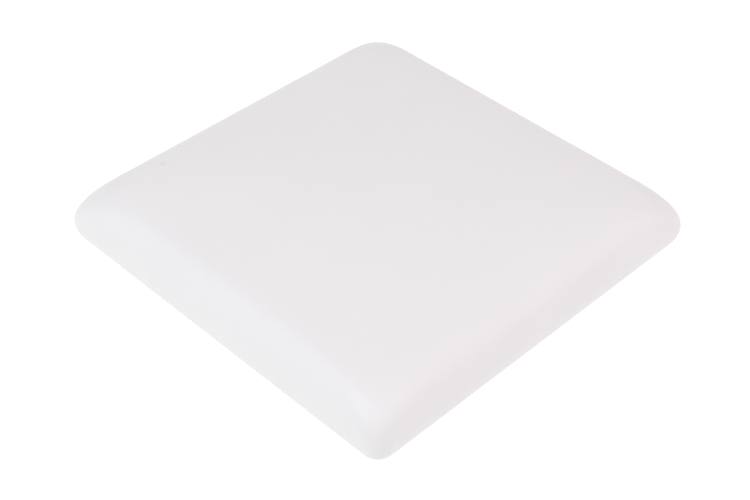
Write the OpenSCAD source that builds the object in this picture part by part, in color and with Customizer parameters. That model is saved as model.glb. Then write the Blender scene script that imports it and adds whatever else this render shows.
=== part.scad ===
// Square raised pavement marker: a white moulded shell, potted from below with
// filled resin, reinforced by a glass-fibre scrim and gritted on its underside.
// Origin: middle of the underside, on the road. +Z points up, out of the road.

/* [Marker] */
// Side of the square outline at its widest
marker_side = 101.6; // [98:0.1:105]
// Height from the road to the middle of the crown
marker_h = 16.5; // [15.5:0.1:18]
// How far the outline's corners reach along its sides at its widest
corner_r = 5.4; // [4:0.1:8]
// How far they reach where the crown begins
crown_corner_r = 19.5; // [10:0.5:24]
// Squareness of the corners: 2 is a plain arc, more blends into the sides more softly
corner_power = 2.5; // [2:0.1:3]

/* [Edge profile, from the road up] */
// Radius of the shell's lower edge
rim_r = 0.5; // [0.3:0.1:0.8]
// Radius with which the sides tuck in below their widest line
tuck_r = 6.2; // [4:0.1:7]
// How far the tucked side leans in where it meets the lower edge, in degrees
tuck_lean = 31; // [10:1:36]
// Slope at which the rounded upper edge runs into the crown, in degrees from level
crown_slope = 9.5; // [6:0.5:11]

/* [Shell] */
// Wall thickness
wall = 2.8; // [2.4:0.1:3]
// Thickness of the inner ribs
rib_t = 1.8; // [1.4:0.1:2.4]
// Distance between neighbouring ribs
rib_gap = 24; // [20:1:25]
// Number of ribs in each direction
rib_count = 3; // [1:1:3]
// Height of the ribs' lower edges above the road
rib_z = 5; // [4.8:0.1:5.4]
// Diameter of the holes through which the resin flows between cells
flow_d = 3.6; // [2.5:0.1:3.8]

/* [Resin and scrim] */
// Depth of the gritted face inside the rim
recess = 0.6; // [0.5:0.1:0.8]
// Top of the second pour, which holds the scrim and the grit
pour_z = 4.2; // [4.1:0.1:4.5]
// Diameter of a glass-fibre strand
strand_d = 0.8; // [0.5:0.1:0.8]
// Distance between neighbouring strands
strand_gap = 9; // [7:0.5:10]

/* [Grit] */
// Distance between neighbouring grains, before they are scattered
grit_gap = 6.4; // [5.6:0.1:7]
// Side of the largest grain
grit_max = 1.1; // [0.9:0.1:1.1]
// Side of the smallest grain
grit_min = 0.7; // [0.6:0.1:0.8]

/* [Hidden] */
half_side = marker_side / 2;
corner_steps = 10;
rim_steps = 3;
tuck_steps = 5;
edge_steps = 12;
crown_steps = 6;
cut_below = 1;
flow_sill = 0.8;
strand_wall_gap = 1.5;
strand_cover = 0.4;
strand_z = pour_z - strand_cover - strand_d;
grit_scatter = 1.6;
grit_clear = 0.02;
grit_seed = 41;
flow_facets = 48;
strand_facets = 24;

// Inset and height gained along an arc of radius r from slope a to the lower slope b.
// A slope is in degrees from level, and past 90 the surface faces the road.
function run(r, a, b) = r * (sin(a) - sin(b));
function rise(r, a, b) = r * (cos(b) - cos(a));

tuck_slope = 90 + tuck_lean;
widest_z = rise(rim_r, 180, tuck_slope) + rise(tuck_r, tuck_slope, 90);
rim_inset = -run(rim_r, 180, tuck_slope) - run(tuck_r, tuck_slope, 90);

// The edge arc and the crown share the height that is left above the widest line
crown_lift = tan(crown_slope / 2);
edge_r = (marker_h - widest_z - half_side * crown_lift)
    / (rise(1, 90, crown_slope) - run(1, 90, crown_slope) * crown_lift);
crown_inset = run(edge_r, 90, crown_slope);
crown_r = (half_side - crown_inset) / sin(crown_slope);

// Stations [inset, z, slope] along one arc that starts at `from`, leaving out the start itself
function arc_stations(from, r, b, steps) = [
    for (i = [1 : steps])
        let (a = from[2] + (b - from[2]) * i / steps)
        [from[0] + run(r, from[2], a), from[1] + rise(r, from[2], a), a]
];
function last(list) = list[len(list) - 1];

rim_foot = [rim_inset, 0, 180];
rim = arc_stations(rim_foot, rim_r, tuck_slope, rim_steps);
tuck = arc_stations(last(rim), tuck_r, 90, tuck_steps);
widest = [0, widest_z, 90];
edge = arc_stations(widest, edge_r, crown_slope, edge_steps);
crown = arc_stations(last(edge), crown_r, 0, crown_steps);
under_stations = concat([rim_foot], rim, tuck);
upper_stations = concat(edge, crown);

// Reach of the corners at a station: below the widest line it shrinks with the inset,
// and above it grows evenly up to the crown
function level_r(station) = station[2] > 90
    ? corner_r - station[0]
    : corner_r + (crown_corner_r - corner_r) * min(1, station[0] / crown_inset);

// A corner of a rounded square in its first quarter; each one is a quarter superellipse
function corner_points(half, r) = [
    for (j = [0 : corner_steps])
        let (a = 90 * j / corner_steps)
        [half - r + r * pow(cos(a), 2 / corner_power), half - r + r * pow(sin(a), 2 / corner_power)]
];

// One level outline, a rounded square, `depth` below the outer surface along its normal
function level_ring(station, depth) =
    let (
        half = half_side - station[0] - depth * sin(station[2]),
        r = min(half, level_r(station) - depth * sin(station[2])),
        z = station[1] - depth * cos(station[2]),
        corner = corner_points(half, r)
    )
    concat(
        [for (p = corner) [p[0], p[1], z]],
        [for (p = corner) [-p[1], p[0], z]],
        [for (p = corner) [-p[0], -p[1], z]],
        [for (p = corner) [p[1], -p[0], z]]
    );

// Solid between a flat bottom and the crown's apex. The last station is the apex.
module pillow(stations, depth) {
    rings = [for (i = [0 : len(stations) - 2]) level_ring(stations[i], depth)];
    n = len(rings[0]);
    apex = len(rings) * n;
    top = apex - n;
    points = concat([for (ring = rings) each ring], [[0, 0, last(stations)[1] - depth]]);
    sides = [
        for (i = [0 : len(rings) - 2])
            for (j = [0 : n - 1])
                let (a = i * n + j, b = i * n + (j + 1) % n)
                each [[a, a + n, b + n], [a, b + n, b]]
    ];
    cap = [for (j = [0 : n - 1]) [top + j, apex, top + (j + 1) % n]];
    polyhedron(points, concat([[for (j = [0 : n - 1]) j]], sides, cap));
}

module outer_form() pillow(concat(under_stations, upper_stations), 0);
module cavity_form() pillow(concat([[0, -cut_below, 90], widest], upper_stations), wall);

// Ribs across one direction, each with a flow hole in the middle of every cell
module rib_row() {
    middle = (rib_count - 1) / 2;
    hole_z = rib_z + flow_sill + flow_d / 2;
    for (i = [0 : rib_count - 1])
        translate([(i - middle) * rib_gap, 0, 0])
            difference() {
                translate([-rib_t / 2, -half_side, rib_z])
                    cube([rib_t, marker_side, marker_h]);
                for (j = [0 : rib_count])
                    translate([0, (j - rib_count / 2) * rib_gap, hole_z])
                        rotate([0, 90, 0])
                            cylinder(h = 2 * rib_t, d = flow_d, center = true, $fn = flow_facets);
            }
}

module resin_space() {
    difference() {
        cavity_form();
        rib_row();
        rotate([0, 0, 90]) rib_row();
    }
}

module slab(z0, z1) {
    translate([-half_side, -half_side, z0]) cube([marker_side, marker_side, z1 - z0]);
}

// Parallel strands along Y at height z
module strand_row(z) {
    span = marker_side - 2 * (wall + strand_wall_gap);
    count = floor(span / 2 / strand_gap);
    for (i = [-count : count])
        translate([i * strand_gap, 0, z])
            rotate([90, 0, 0])
                cylinder(h = span, d = strand_d, center = true, $fn = strand_facets);
}

module warp_strands() strand_row(strand_z + strand_d / 2);
module weft_strands() rotate([0, 0, 90]) strand_row(strand_z - strand_d / 2);

// Angular grains, scattered about a square grid and turned every way
module grains() {
    span = marker_side - 2 * wall - 2 * grit_scatter - 2 * grit_max;
    count = floor(span / grit_gap);
    start = -count * grit_gap / 2;
    z = grit_max * sqrt(3) / 2 + grit_clear;
    for (i = [0 : count])
        for (j = [0 : count]) {
            seed = grit_seed + i * (count + 1) + j;
            shift = rands(-grit_scatter, grit_scatter, 2, seed);
            turn = rands(0, 90, 3, seed + 1000);
            size = rands(grit_min, grit_max, 3, seed + 2000);
            translate([start + i * grit_gap + shift[0], start + j * grit_gap + shift[1], z])
                rotate(turn)
                    cube(size, center = true);
        }
}

module shell() {
    color("#ece9ea")
        difference() {
            outer_form();
            resin_space();
        }
}

module potting_fill() {
    color("#b9b2a4")
        intersection() {
            resin_space();
            slab(pour_z, marker_h);
        }
}

module base_pour() {
    color("#a59d8d")
        difference() {
            intersection() {
                cavity_form();
                slab(recess, pour_z);
            }
            warp_strands();
            weft_strands();
            grains();
        }
}

module scrim_warp() color("#dfe6df") warp_strands();
module scrim_weft() color("#cfd8d2") weft_strands();
module sand_grit() color("#c8b590") grains();

shell();
potting_fill();
base_pour();
scrim_warp();
scrim_weft();
sand_grit();
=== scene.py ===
"""Looks of a potted raised pavement marker: a smooth white moulded shell on a pale floor."""
import math

import bmesh
import bpy
import numpy as np
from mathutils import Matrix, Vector, noise


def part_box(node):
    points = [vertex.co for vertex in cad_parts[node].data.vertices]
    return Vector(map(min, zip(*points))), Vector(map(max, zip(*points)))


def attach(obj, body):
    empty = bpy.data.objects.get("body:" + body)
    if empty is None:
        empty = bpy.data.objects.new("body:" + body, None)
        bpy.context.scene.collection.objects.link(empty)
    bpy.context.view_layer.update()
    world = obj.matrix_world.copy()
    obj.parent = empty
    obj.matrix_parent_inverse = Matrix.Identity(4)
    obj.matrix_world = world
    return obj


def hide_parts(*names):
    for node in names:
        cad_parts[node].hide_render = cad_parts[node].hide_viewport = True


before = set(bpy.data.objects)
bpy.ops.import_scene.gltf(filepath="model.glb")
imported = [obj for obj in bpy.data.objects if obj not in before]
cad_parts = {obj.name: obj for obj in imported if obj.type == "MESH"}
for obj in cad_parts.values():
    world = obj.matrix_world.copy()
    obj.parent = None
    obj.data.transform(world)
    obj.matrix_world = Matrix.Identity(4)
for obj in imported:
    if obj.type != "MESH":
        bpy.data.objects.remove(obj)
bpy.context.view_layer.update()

MM = 0.001
WELD_GAP = 0.001 * MM  # CAD points closer than this are one point
LEVEL_GAP = 0.01 * MM  # a face within this of the road is the rim's flat face

# ---------------------------------------------------------------- the shell's form, in mm
SHELL_LOW, SHELL_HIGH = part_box("shell")
HALF = (SHELL_HIGH[0] - SHELL_LOW[0]) / 2 / MM
HEIGHT = (SHELL_HIGH[2] - SHELL_LOW[2]) / MM
WALL = 2.8
# These values are part.scad's own. A slope is in degrees from level, and past 90 it faces the floor.
RIM_R = 0.5
TUCK_R = 6.2
TUCK_SLOPE = 121
CROWN_SLOPE = 9.5
CORNER_R = 5.4
CROWN_CORNER_R = 19.5
CORNER_POWER = 2.5  # 2 is a plain arc, more blends into the sides more softly
SIDE_STEPS = 26  # quads along each straight side
CORNER_STEPS = 22  # quads round each corner
RIM_STEPS = 6
TUCK_STEPS = 10
EDGE_STEPS = 36
HALVINGS = 24


def sin(a):
    return math.sin(math.radians(a))


def cos(a):
    return math.cos(math.radians(a))


def arc_run(r, a, b):
    return r * (sin(a) - sin(b))


def arc_rise(r, a, b):
    return r * (cos(b) - cos(a))


UNDER_INSET = -arc_run(RIM_R, 180, TUCK_SLOPE) - arc_run(TUCK_R, TUCK_SLOPE, 90)
WIDEST_Z = arc_rise(RIM_R, 180, TUCK_SLOPE) + arc_rise(TUCK_R, TUCK_SLOPE, 90)
CORNER_BLEND = 2 / CORNER_POWER
# The edge arc and the crown share the height that is left above the widest line.
CROWN_LIFT = math.tan(math.radians(CROWN_SLOPE / 2))
EDGE_LIFT = arc_rise(1, 90, CROWN_SLOPE) - arc_run(1, 90, CROWN_SLOPE) * CROWN_LIFT
EDGE_R = (HEIGHT - WIDEST_Z - HALF * CROWN_LIFT) / EDGE_LIFT
CROWN_INSET = arc_run(EDGE_R, 90, CROWN_SLOPE)
CROWN_HALF = HALF - CROWN_INSET
CROWN_R = CROWN_HALF / sin(CROWN_SLOPE)


def arc_stations(start, r, a, b, steps):
    """Points (inset, z) along one arc of the profile, without its start."""
    out = []
    for i in range(1, steps + 1):
        slope = a + (b - a) * i / steps
        out.append((start[0] + arc_run(r, a, slope), start[1] + arc_rise(r, a, slope)))
    return out


def edge_stations():
    """The profile from the rim's flat underside to the crown, as (inset, z, corner radius)."""
    under = [(UNDER_INSET, 0)]
    under += arc_stations(under[-1], RIM_R, 180, TUCK_SLOPE, RIM_STEPS)
    under += arc_stations(under[-1], TUCK_R, TUCK_SLOPE, 90, TUCK_STEPS)
    upper = arc_stations(under[-1], EDGE_R, 90, CROWN_SLOPE, EDGE_STEPS)
    growth = (CROWN_CORNER_R - CORNER_R) / CROWN_INSET
    out = [(inset, z, CORNER_R - inset) for inset, z in under]
    return out + [(inset, z, CORNER_R + growth * inset) for inset, z in upper]


def level_ring(inset, z, r):
    """One level outline: a rounded square, from the start of the -Y side."""
    half = HALF - inset
    flat = half - r
    side = [(-flat + 2 * flat * i / SIDE_STEPS, -half) for i in range(SIDE_STEPS)]
    for i in range(CORNER_STEPS):
        a = 90 * i / CORNER_STEPS
        side.append((flat + r * sin(a) ** CORNER_BLEND, -flat - r * cos(a) ** CORNER_BLEND))
    ring = []
    for quarter in range(4):
        c, s = round(cos(90 * quarter)), round(sin(90 * quarter))
        ring += [(c * x - s * y, s * x + c * y, z) for x, y in side]
    return ring


def crown_height(x, y):
    """Height of the crown at a place inside its outline."""
    u, v = max(abs(x), abs(y)), min(abs(x), abs(y))
    low, high = u, CROWN_HALF + CROWN_CORNER_R
    if v > u - CROWN_CORNER_R:
        # halve the interval until the outline of that half side runs through the place
        for _ in range(HALVINGS):
            half = (low + high) / 2
            r = min(half, CROWN_CORNER_R)
            across = max(0, u - half + r) ** CORNER_POWER + max(0, v - half + r) ** CORNER_POWER
            low, high = (half, high) if across > r ** CORNER_POWER else (low, half)
    half = min(low, CROWN_HALF)
    return HEIGHT - CROWN_R + math.sqrt(CROWN_R ** 2 - half ** 2)


def new_mesh(name):
    mesh = bpy.data.meshes.new(name)
    piece = bpy.data.objects.new(name, mesh)
    bpy.context.scene.collection.objects.link(piece)
    return piece


def bridge_rings(bm, rings):
    count = len(rings[0])
    for low, high in zip(rings, rings[1:]):
        for j in range(count):
            k = (j + 1) % count
            bm.faces.new((low[j], low[k], high[k], high[j]))


def fill_square(bm, ring, height):
    """Fills a level ring with a square grid of quads; height(x, y) places them, in mm."""
    count = len(ring)
    n = count // 4
    # the grid's corners are the middles of the ring's rounded corners
    start = SIDE_STEPS + CORNER_STEPS // 2
    edge = [ring[(start + i) % count] for i in range(count)]
    grid = [[None] * (n + 1) for _ in range(n + 1)]
    for i in range(n + 1):
        grid[i][0] = edge[i]
        grid[n][i] = edge[n + i]
        grid[n - i][n] = edge[2 * n + i]
        grid[0][n - i] = edge[(3 * n + i) % count]
    for i in range(1, n):
        for j in range(1, n):
            u, v = i / n, j / n
            across = grid[0][j].co.lerp(grid[n][j].co, u) + grid[i][0].co.lerp(grid[i][n].co, v)
            low = grid[0][0].co.lerp(grid[n][0].co, u)
            high = grid[0][n].co.lerp(grid[n][n].co, u)
            place = across - low.lerp(high, v)
            z = height(place.x / MM, place.y / MM) * MM
            grid[i][j] = bm.verts.new((place.x, place.y, z))
    for i in range(n):
        for j in range(n):
            bm.faces.new((grid[i][j], grid[i + 1][j], grid[i + 1][j + 1], grid[i][j + 1]))


def linked_to(start):
    """Every vertex that edges join to the first one, itself among them."""
    group = {start}
    fresh = [start]
    while fresh:
        vert = fresh.pop()
        found = {e.other_vert(vert) for e in vert.link_edges} - group
        group |= found
        fresh += found
    return group


def cavity_mesh():
    """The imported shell's inside, with its ribs, as a mesh that is open where the rim's flat face was."""
    bm = bmesh.new()
    bm.from_mesh(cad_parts["shell"].data)
    bmesh.ops.remove_doubles(bm, verts=bm.verts, dist=WELD_GAP)
    flat = [f for f in bm.faces if all(v.co.z < LEVEL_GAP for v in f.verts)]
    bmesh.ops.delete(bm, geom=flat, context="FACES")
    outside = linked_to(max(bm.verts, key=lambda v: v.co.z))
    bmesh.ops.delete(bm, geom=list(outside), context="VERTS")
    mesh = bpy.data.meshes.new("cavity")
    bm.to_mesh(mesh)
    bm.free()
    return mesh


def shell_piece():
    piece = new_mesh("shell_skin")
    bm = bmesh.new()
    rings = []
    for inset, z, r in edge_stations():
        rings.append([bm.verts.new(Vector(p) * MM) for p in level_ring(inset, z, r)])
    bridge_rings(bm, rings)
    fill_square(bm, rings[-1], crown_height)
    for face in bm.faces:
        face.smooth = True
    cavity = cavity_mesh()
    bm.from_mesh(cavity)
    bpy.data.meshes.remove(cavity)
    rim_edges = [e for e in bm.edges if e.is_boundary]
    bmesh.ops.triangle_fill(bm, use_beauty=True, edges=rim_edges)
    bmesh.ops.recalc_face_normals(bm, faces=bm.faces)
    bm.to_mesh(piece.data)
    bm.free()
    return piece


# ---------------------------------------------------------------- resin face and grit
RESIN_INSET = WALL
RESIN_CORNER_R = CORNER_R - WALL
RESIN_LOW, RESIN_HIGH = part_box("base_pour")
RESIN_Z = RESIN_LOW[2] / MM
POUR_TOP = RESIN_HIGH[2] / MM
RESIN_CUTS = 3
MENISCUS_DROP = 0.3  # how far the resin creeps down the shell's wall
MENISCUS_REACH = 0.9
RIPPLE = 0.09
RIPPLE_LENGTH = 5.0
DIMPLE = 0.05
DIMPLE_LENGTH = 1.1
DIMPLE_SLICE = 7  # the level of the noise that the dimples come from


def resin_height(x, y):
    """Height of the resin's poured face, which the road side of the marker shows."""
    wall_gap = HALF - RESIN_INSET - max(abs(x), abs(y))
    z = RESIN_Z - MENISCUS_DROP * math.exp(-wall_gap / MENISCUS_REACH)
    z += RIPPLE * noise.noise(Vector((x, y, 0)) / RIPPLE_LENGTH)
    return z + DIMPLE * noise.noise(Vector((x, y, DIMPLE_SLICE)) / DIMPLE_LENGTH)


def resin_piece():
    """The second pour: a slab with a rippled road face, closed against the wall and the first pour."""
    piece = new_mesh("resin_base")
    bm = bmesh.new()
    ring = level_ring(RESIN_INSET, RESIN_Z, RESIN_CORNER_R)
    verts = [bm.verts.new(Vector(p) * MM) for p in ring]
    fill_square(bm, verts, resin_height)
    bmesh.ops.subdivide_edges(bm, edges=bm.edges, cuts=RESIN_CUTS, use_grid_fill=True)
    for vert in bm.verts:
        vert.co.z = resin_height(vert.co.x / MM, vert.co.y / MM) * MM
    for face in bm.faces:
        face.smooth = True
    border = [e for e in bm.edges if e.is_boundary]
    side = bmesh.ops.extrude_edge_only(bm, edges=border)["geom"]
    for vert in side:
        if isinstance(vert, bmesh.types.BMVert):
            vert.co.z = POUR_TOP * MM
    top = [e for e in bm.edges if e.is_boundary]
    bmesh.ops.triangle_fill(bm, use_beauty=True, edges=top)
    bmesh.ops.recalc_face_normals(bm, faces=bm.faces)
    bm.to_mesh(piece.data)
    bm.free()
    return piece


GRIT_SEED = 41
COARSE_PLANES, FINE_PLANES = 11, 7
COARSE_DIVISIONS, FINE_DIVISIONS = 2, 1
CUT_MIN, CUT_MAX = 0.5, 0.85  # how far from a grain's middle it is cut, as part of its radius
SQUASH_MIN, SQUASH_MAX = 0.8, 1.1
GLANCING = 0.05  # directions that face a cut by less than this don't reach it
FINE_GAP = 1.05
FINE_KEPT = 0.9
FINE_MIN, FINE_MAX = 0.16, 0.46
FINE_MARGIN = 0.8  # clear of the shell's wall
ROAD_GAP = 0.03  # every grain stays above the road by this


def ball(divisions):
    """Unit icosphere as (points, triangles)."""
    bm = bmesh.new()
    bmesh.ops.create_icosphere(bm, subdivisions=divisions, radius=1)
    points = np.array([v.co for v in bm.verts])
    faces = np.array([[v.index for v in f.verts] for f in bm.faces])
    bm.free()
    return points, faces


def broken_grain(rng, directions, planes):
    """A unit ball cut back by random planes, which leaves flat facets and blunt corners."""
    normals = rng.normal(size=(planes, 3))
    normals /= np.linalg.norm(normals, axis=1, keepdims=True)
    depths = rng.uniform(CUT_MIN, CUT_MAX, planes)
    facing = directions @ normals.T
    reach = np.where(facing > GLANCING, depths / np.maximum(facing, GLANCING), 1.0)
    radius = np.minimum(1.0, reach.min(axis=1))
    stretch = rng.uniform(SQUASH_MIN, SQUASH_MAX, 3)
    return directions * radius[:, None] * stretch


def cad_grains():
    """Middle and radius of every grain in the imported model, in mm."""
    bm = bmesh.new()
    bm.from_mesh(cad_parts["sand_grit"].data)
    bmesh.ops.remove_doubles(bm, verts=bm.verts, dist=WELD_GAP)
    left = set(bm.verts)
    grains = []
    while left:
        group = linked_to(next(iter(left)))
        left -= group
        points = np.array(sorted(tuple(v.co) for v in group)) / MM
        middle = points.mean(axis=0)
        grains.append((tuple(middle), np.linalg.norm(points - middle, axis=1).max()))
    bm.free()
    return sorted(grains)


def fine_grains(rng):
    """Middle and radius of the small grains, half sunk in the resin's face."""
    span = HALF - RESIN_INSET - FINE_MARGIN
    count = int(2 * span / FINE_GAP)
    grains = []
    for i in range(count):
        for j in range(count):
            x, y = (np.array((i, j)) + rng.uniform(0, 1, 2)) * 2 * span / count - span
            radius = FINE_MIN + (FINE_MAX - FINE_MIN) * rng.uniform() ** 2
            if rng.uniform() < FINE_KEPT:
                grains.append(((x, y, resin_height(x, y)), radius))
    return grains


def grit_piece():
    rng = np.random.RandomState(GRIT_SEED)
    points, faces, tones = [], [], []
    total = 0
    coarse = (cad_grains(), COARSE_DIVISIONS, COARSE_PLANES)
    fine = (fine_grains(rng), FINE_DIVISIONS, FINE_PLANES)
    for grains, divisions, planes in (coarse, fine):
        directions, triangles = ball(divisions)
        for middle, radius in grains:
            shape = broken_grain(rng, directions, planes) * radius + middle
            shape[:, 2] += max(0, ROAD_GAP - shape[:, 2].min())
            points.append(shape * MM)
            faces.append(triangles + total)
            tones.append(np.full(len(triangles), rng.uniform()))
            total += len(shape)
    piece = new_mesh("grit_grains")
    piece.data.from_pydata(np.vstack(points), [], np.vstack(faces))
    tone = piece.data.attributes.new("tone", "FLOAT", "FACE")
    tone.data.foreach_set("value", np.concatenate(tones))
    return piece


# ---------------------------------------------------------------- materials, sizes in mm
NOISE_LOW, NOISE_HIGH = 0.3, 0.7  # most of a noise's values lie between these


def new_material(name):
    mat = bpy.data.materials.new(name)
    mat.use_nodes = True
    return mat, mat.node_tree


def add(tree, kind, values=None, **settings):
    """Adds a node, sets its options, and gives its unlinked sockets their values."""
    made = tree.nodes.new(kind)
    for key, value in settings.items():
        setattr(made, key, value)
    for key, value in (values or {}).items():
        made.inputs[key].default_value = value
    return made


def object_place(tree):
    return add(tree, "ShaderNodeTexCoord").outputs["Object"]


def noise_of(tree, place, size, detail=2.0):
    """Noise from 0 to 1 whose features are about `size` mm across."""
    made = add(tree, "ShaderNodeTexNoise", {"Scale": 1 / (size * MM), "Detail": detail})
    tree.links.new(place, made.inputs["Vector"])
    return made.outputs["Fac"]


def map_to(tree, value, low, high, to_low, to_high):
    values = {"From Min": low, "From Max": high, "To Min": to_low, "To Max": to_high}
    made = add(tree, "ShaderNodeMapRange", values)
    tree.links.new(value, made.inputs["Value"])
    return made.outputs["Result"]


def spread(tree, noise_value, low, high):
    """Stretches a noise over the span from low to high."""
    return map_to(tree, noise_value, NOISE_LOW, NOISE_HIGH, low, high)


def ramp(tree, value, stops):
    """Colours along a value; stops are (position, colour)."""
    made = add(tree, "ShaderNodeValToRGB")
    marks = made.color_ramp.elements
    for i, (position, colour) in enumerate(stops):
        mark = marks[i] if i < 2 else marks.new(position)
        mark.position = position
        mark.color = (*colour, 1)
    tree.links.new(value, made.inputs["Fac"])
    return made.outputs["Color"]


def mottle(tree, noise_value, dark, light):
    """Colours from dark to light over the same span of a noise."""
    return ramp(tree, noise_value, ((NOISE_LOW, dark), (NOISE_HIGH, light)))


def mix(tree, factor, a, b):
    """Mixes colour socket a with the plain colour b, by a factor socket."""
    made = add(tree, "ShaderNodeMix", data_type="RGBA")
    made.inputs["B"].default_value = (*b, 1)
    tree.links.new(factor, made.inputs["Factor"])
    tree.links.new(a, made.inputs["A"])
    return made.outputs["Result"]


def math_of(tree, operation, a, b):
    """Arithmetic on two values, each of them a socket or a number."""
    made = add(tree, "ShaderNodeMath", operation=operation)
    for socket, value in zip(made.inputs, (a, b)):
        if isinstance(value, (int, float)):
            socket.default_value = value
        else:
            tree.links.new(value, socket)
    return made.outputs["Value"]


def bump(tree, height, depth, below=None):
    """Bump of `depth` mm from a height socket, on top of another bump if one is given."""
    made = add(tree, "ShaderNodeBump", {"Strength": 1.0, "Distance": depth * MM})
    tree.links.new(height, made.inputs["Height"])
    if below:
        tree.links.new(below, made.inputs["Normal"])
    return made.outputs["Normal"]


def dress(tree, colour, rough, skin):
    """Links a material's colour, roughness and bump to its shader."""
    shader = tree.nodes["Principled BSDF"]
    tree.links.new(colour, shader.inputs["Base Color"])
    tree.links.new(rough, shader.inputs["Roughness"])
    tree.links.new(skin, shader.inputs["Normal"])


SHELL_LIGHT, SHELL_DARK = (0.806, 0.791, 0.794), (0.794, 0.779, 0.781)
SPECK_TONE = (0.66, 0.65, 0.65)
# x, y, radius and strength of the two specks in the crown
SPECKS = ((-41.5, -29.0, 0.95, 0.5), (5.6, 33.7, 0.6, 0.3))
SPECK_CORE = 1 / 3  # part of a speck's radius that has its full strength
SHELL_CLOUD = 24
SHELL_PATCH, SHELL_SATIN, SHELL_DULL = 9, 0.39, 0.45
SHELL_GRAIN, SHELL_GRAIN_DEPTH = 0.5, 0.004
SHELL_WAVE, SHELL_WAVE_DEPTH = 14, 0.02  # the slight unevenness of a moulded face
SHELL_IOR = 1.5


def speck_mask(tree, place):
    """Each speck's strength in its middle, and 0 elsewhere."""
    # distances are level ones, so the height is taken out first
    level = add(tree, "ShaderNodeVectorMath", {1: (1, 1, 0)}, operation="MULTIPLY")
    tree.links.new(place, level.inputs[0])
    total = None
    for x, y, r, strength in SPECKS:
        away = add(tree, "ShaderNodeVectorMath", {1: (x * MM, y * MM, 0)}, operation="DISTANCE")
        tree.links.new(level.outputs[0], away.inputs[0])
        distance = away.outputs["Value"]
        mark = map_to(tree, distance, SPECK_CORE * r * MM, r * MM, strength, 0)
        total = mark if total is None else math_of(tree, "MAXIMUM", total, mark)
    return total


def shell_plastic():
    mat, tree = new_material("shell_plastic")
    place = object_place(tree)
    colour = mottle(tree, noise_of(tree, place, SHELL_CLOUD, detail=3), SHELL_DARK, SHELL_LIGHT)
    colour = mix(tree, speck_mask(tree, place), colour, SPECK_TONE)
    patch = noise_of(tree, place, SHELL_PATCH, detail=4)
    rough = spread(tree, patch, SHELL_SATIN, SHELL_DULL)
    skin = bump(tree, noise_of(tree, place, SHELL_GRAIN, detail=3), SHELL_GRAIN_DEPTH)
    skin = bump(tree, noise_of(tree, place, SHELL_WAVE), SHELL_WAVE_DEPTH, below=skin)
    dress(tree, colour, rough, skin)
    tree.nodes["Principled BSDF"].inputs["IOR"].default_value = SHELL_IOR
    return mat


RESIN_CLOUD = 7
FILLER_CELL, FILLER_CORE, FILLER_EDGE = 0.7, 0.12, 0.3
FILLER_PATCH, PATCH_START, PATCH_FULL = 1.6, 0.5, 0.6
PINHOLE_CELL, PINHOLE_CORE, PINHOLE_EDGE = 0.9, 0.24, 0.32
# the pinholes' colour is painted shade: this part of the resin's dark tone
PINHOLE_PAINTED_SHADE, PINHOLE_DEPTH = 0.4, 0.12
RESIN_PATCH, RESIN_SATIN, RESIN_DULL = 2, 0.45, 0.7
RESIN_GRAIN, RESIN_GRAIN_DEPTH = 0.35, 0.03


def filled_resin(name, light, dark, filler):
    """Cast resin with a mineral filler: mottled, with pale grains and small pinholes that are dented by a
    bump and painted dark as the shade inside them.
    """
    mat, tree = new_material(name)
    place = object_place(tree)
    colour = mottle(tree, noise_of(tree, place, RESIN_CLOUD, detail=5), dark, light)
    cells = add(tree, "ShaderNodeTexVoronoi", {"Scale": 1 / (FILLER_CELL * MM)})
    tree.links.new(place, cells.inputs["Vector"])
    grains = map_to(tree, cells.outputs["Distance"], FILLER_CORE, FILLER_EDGE, 1, 0)
    patch = noise_of(tree, place, FILLER_PATCH)
    chosen = map_to(tree, patch, PATCH_START, PATCH_FULL, 0, 1)
    colour = mix(tree, math_of(tree, "MULTIPLY", grains, chosen), colour, filler)
    pits = noise_of(tree, place, PINHOLE_CELL, detail=1)
    holes = map_to(tree, pits, PINHOLE_CORE, PINHOLE_EDGE, 1, 0)
    # painted shade: the pinholes are coloured darker, as the shade that falls inside them
    colour = mix(tree, holes, colour, tuple(PINHOLE_PAINTED_SHADE * tone for tone in dark))
    rough = spread(tree, noise_of(tree, place, RESIN_PATCH, detail=3), RESIN_SATIN, RESIN_DULL)
    skin = bump(tree, noise_of(tree, place, RESIN_GRAIN, detail=4), RESIN_GRAIN_DEPTH)
    skin = bump(tree, math_of(tree, "MULTIPLY", holes, -1), PINHOLE_DEPTH, below=skin)
    dress(tree, colour, rough, skin)
    return mat


# the dark tone is painted shade in the twist's grooves; the light one is the fibre's own
STRAND_GROOVE_SHADE, STRAND_LIGHT = (0.52, 0.56, 0.5), (0.8, 0.84, 0.79)
STRAND_STOPS = (0.2, 0.8)
STRAND_PATCH, STRAND_GLOSS, STRAND_SATIN = 1.2, 0.25, 0.45
TWIST_PITCH, TWIST_DEPTH, TWIST_WAVER = 2.4, 0.05, 1.2
TWIST_LEAN = {"Y": 35, "X": 125}  # degrees, by the axis that a strand lies along


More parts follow.
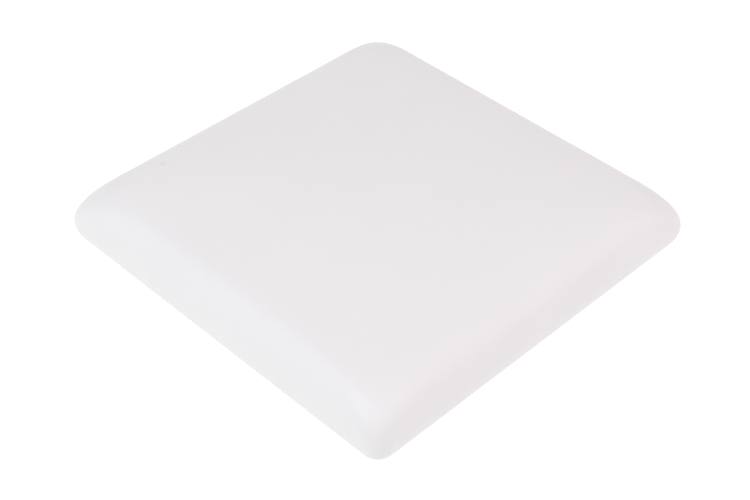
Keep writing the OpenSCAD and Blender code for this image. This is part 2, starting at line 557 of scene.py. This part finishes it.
def glass_strand(name, along):
    """Twisted glass fibre wetted by resin; the twist runs along one axis, and its grooves are painted
    darker as shade.
    """
    mat, tree = new_material(name)
    place = object_place(tree)
    turned = add(tree, "ShaderNodeMapping")
    turned.inputs["Rotation"].default_value = (0, 0, math.radians(TWIST_LEAN[along]))
    tree.links.new(place, turned.inputs["Vector"])
    values = {"Scale": 1 / (TWIST_PITCH * MM), "Distortion": TWIST_WAVER, "Detail": 2.0}
    twist = add(tree, "ShaderNodeTexWave", {**values, "Detail Scale": 2.0}, bands_direction="Y")
    tree.links.new(turned.outputs["Vector"], twist.inputs["Vector"])
    wave = twist.outputs["Fac"]
    # painted shade: the colour follows the twist's bump and is darker in its grooves
    colour = ramp(tree, wave, tuple(zip(STRAND_STOPS, (STRAND_GROOVE_SHADE, STRAND_LIGHT))))
    rough = spread(tree, noise_of(tree, place, STRAND_PATCH), STRAND_GLOSS, STRAND_SATIN)
    dress(tree, colour, rough, bump(tree, wave, TWIST_DEPTH))
    return mat


SANDS = (
    (0.0, (0.2, 0.13, 0.07)),
    (0.15, (0.47, 0.3, 0.14)),
    (0.4, (0.62, 0.48, 0.29)),
    (0.75, (0.72, 0.62, 0.45)),
    (1.0, (0.8, 0.77, 0.7)),
)
RUST = (0.34, 0.24, 0.14)
RUST_PATCH, RUST_START, RUST_FULL, RUST_MOST = 0.5, 0.45, 0.7, 0.5
SAND_PATCH, SAND_GLOSS, SAND_DULL = 0.3, 0.3, 0.6
SAND_GRAIN, SAND_GRAIN_DEPTH = 0.15, 0.02


def quartz_grit():
    """Washed silica sand: every grain has its own tone, from rust to nearly clear."""
    mat, tree = new_material("quartz_grit")
    place = object_place(tree)
    tone = add(tree, "ShaderNodeAttribute", attribute_name="tone").outputs["Fac"]
    colour = ramp(tree, tone, SANDS)
    patch = noise_of(tree, place, RUST_PATCH, detail=4)
    stain = map_to(tree, patch, RUST_START, RUST_FULL, 0, RUST_MOST)
    colour = mix(tree, stain, colour, RUST)
    rough = spread(tree, noise_of(tree, place, SAND_PATCH), SAND_GLOSS, SAND_DULL)
    skin = bump(tree, noise_of(tree, place, SAND_GRAIN, detail=3), SAND_GRAIN_DEPTH)
    dress(tree, colour, rough, skin)
    return mat


# ---------------------------------------------------------------- stage
FLOOR_R = 3.0
FLOOR_SIDES = 96
FLOOR_ROUGH = 0.8
FLOOR_TONE = 0.3
FLOOR_GLOW = 0.82


def floor():
    piece = new_mesh("floor")
    bm = bmesh.new()
    bmesh.ops.create_circle(bm, cap_ends=True, segments=FLOOR_SIDES, radius=FLOOR_R)
    bm.to_mesh(piece.data)
    bm.free()
    mat, tree = new_material("floor_white")
    shader = tree.nodes["Principled BSDF"]
    shader.inputs["Base Color"].default_value = (FLOOR_TONE, FLOOR_TONE, FLOOR_TONE, 1)
    shader.inputs["Roughness"].default_value = FLOOR_ROUGH
    shader.inputs["Emission Color"].default_value = (1, 1, 1, 1)
    shader.inputs["Emission Strength"].default_value = FLOOR_GLOW
    piece.data.materials.append(mat)


def toward(azimuth, elevation):
    """Unit vector out from the middle; azimuth 0 is -Y and 90 is +X."""
    level = cos(elevation)
    return Vector((sin(azimuth) * level, -cos(azimuth) * level, sin(elevation)))


SKY_STRENGTH, SKY_COLOUR = 0.5, (1.05, 1.0, 0.96)


def sky():
    world = bpy.data.worlds.new("studio")
    world.use_nodes = True
    background = world.node_tree.nodes["Background"]
    background.inputs["Color"].default_value = (*SKY_COLOUR, 1)
    background.inputs["Strength"].default_value = SKY_STRENGTH
    bpy.context.scene.world = world


PANEL_SIDE = 0.7
PANEL_DISTANCE = 1.1
# azimuth, elevation, watts and colour of each soft light
PANELS = {
    "high_left": (0, 62, 3.3, (0.86, 1.02, 1.08)),
    "high_right": (90, 62, 2.0, (1.12, 0.91, 0.97)),
    "high_back": (180, 62, 0.75, (1.12, 1.0, 0.88)),
    "right": (135, 35, 1.5, (0.9, 0.96, 1.12)),
    "left": (315, 35, 1.3, (0.86, 1.0, 1.2)),
    "low_left": (330, 10, 1.0, (1, 1, 1)),
}


def soft_panel(name, azimuth, elevation, watts, colour):
    data = bpy.data.lights.new(name, "AREA")
    data.shape = "SQUARE"
    data.size = PANEL_SIDE
    data.energy = watts
    data.color = colour
    lamp = bpy.data.objects.new(name, data)
    out = toward(azimuth, elevation)
    lamp.location = out * PANEL_DISTANCE
    lamp.rotation_euler = out.to_track_quat("Z", "Y").to_euler()
    bpy.context.scene.collection.objects.link(lamp)


SIDE = 2 * HALF * MM
CAMERA_AZ, CAMERA_EL, CAMERA_ROLL = 44.56, 41.31, 0.81
CAMERA_DISTANCE = 3.415 * SIDE
CAMERA_LENS, SENSOR_WIDTH = 72.52, 36
CAMERA_CLIP = 0.01
AIM = Vector((0.0359, -0.0446, 0)) * SIDE


def camera():
    data = bpy.data.cameras.new("camera")
    data.lens = CAMERA_LENS
    data.sensor_width = SENSOR_WIDTH
    data.clip_start = CAMERA_CLIP
    back = toward(CAMERA_AZ, CAMERA_EL)
    cam = bpy.data.objects.new("camera", data)
    cam.location = AIM + back * CAMERA_DISTANCE
    cam.rotation_euler = back.to_track_quat("Z", "Y").to_euler()
    cam.rotation_euler.rotate_axis("Z", math.radians(CAMERA_ROLL))
    bpy.context.scene.collection.objects.link(cam)
    bpy.context.scene.camera = cam


def finish_piece(piece, material, node):
    """Gives a new piece its material, body and slot, and hides the CAD node that it stands for."""
    piece.data.materials.append(material)
    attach(piece, "root")
    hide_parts(node)


def recolour(node, material):
    """A CAD node keeps its mesh and gets a better material."""
    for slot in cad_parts[node].material_slots:
        slot.material = material


POTTING_LIGHT, POTTING_DARK = (0.52, 0.49, 0.42), (0.4, 0.37, 0.31)
BASE_LIGHT, BASE_DARK = (0.43, 0.39, 0.32), (0.3, 0.27, 0.22)
FILLER = (0.62, 0.6, 0.55)

finish_piece(shell_piece(), shell_plastic(), "shell")
base_look = filled_resin("base_resin", BASE_LIGHT, BASE_DARK, FILLER)
finish_piece(resin_piece(), base_look, "base_pour")
finish_piece(grit_piece(), quartz_grit(), "sand_grit")
recolour("potting_fill", filled_resin("potting_resin", POTTING_LIGHT, POTTING_DARK, FILLER))
recolour("scrim_warp", glass_strand("warp_fibre", "Y"))
recolour("scrim_weft", glass_strand("weft_fibre", "X"))

floor()
sky()
for name, panel in PANELS.items():
    soft_panel(name, *panel)
camera()
bpy.context.scene.view_settings.view_transform = "Standard"
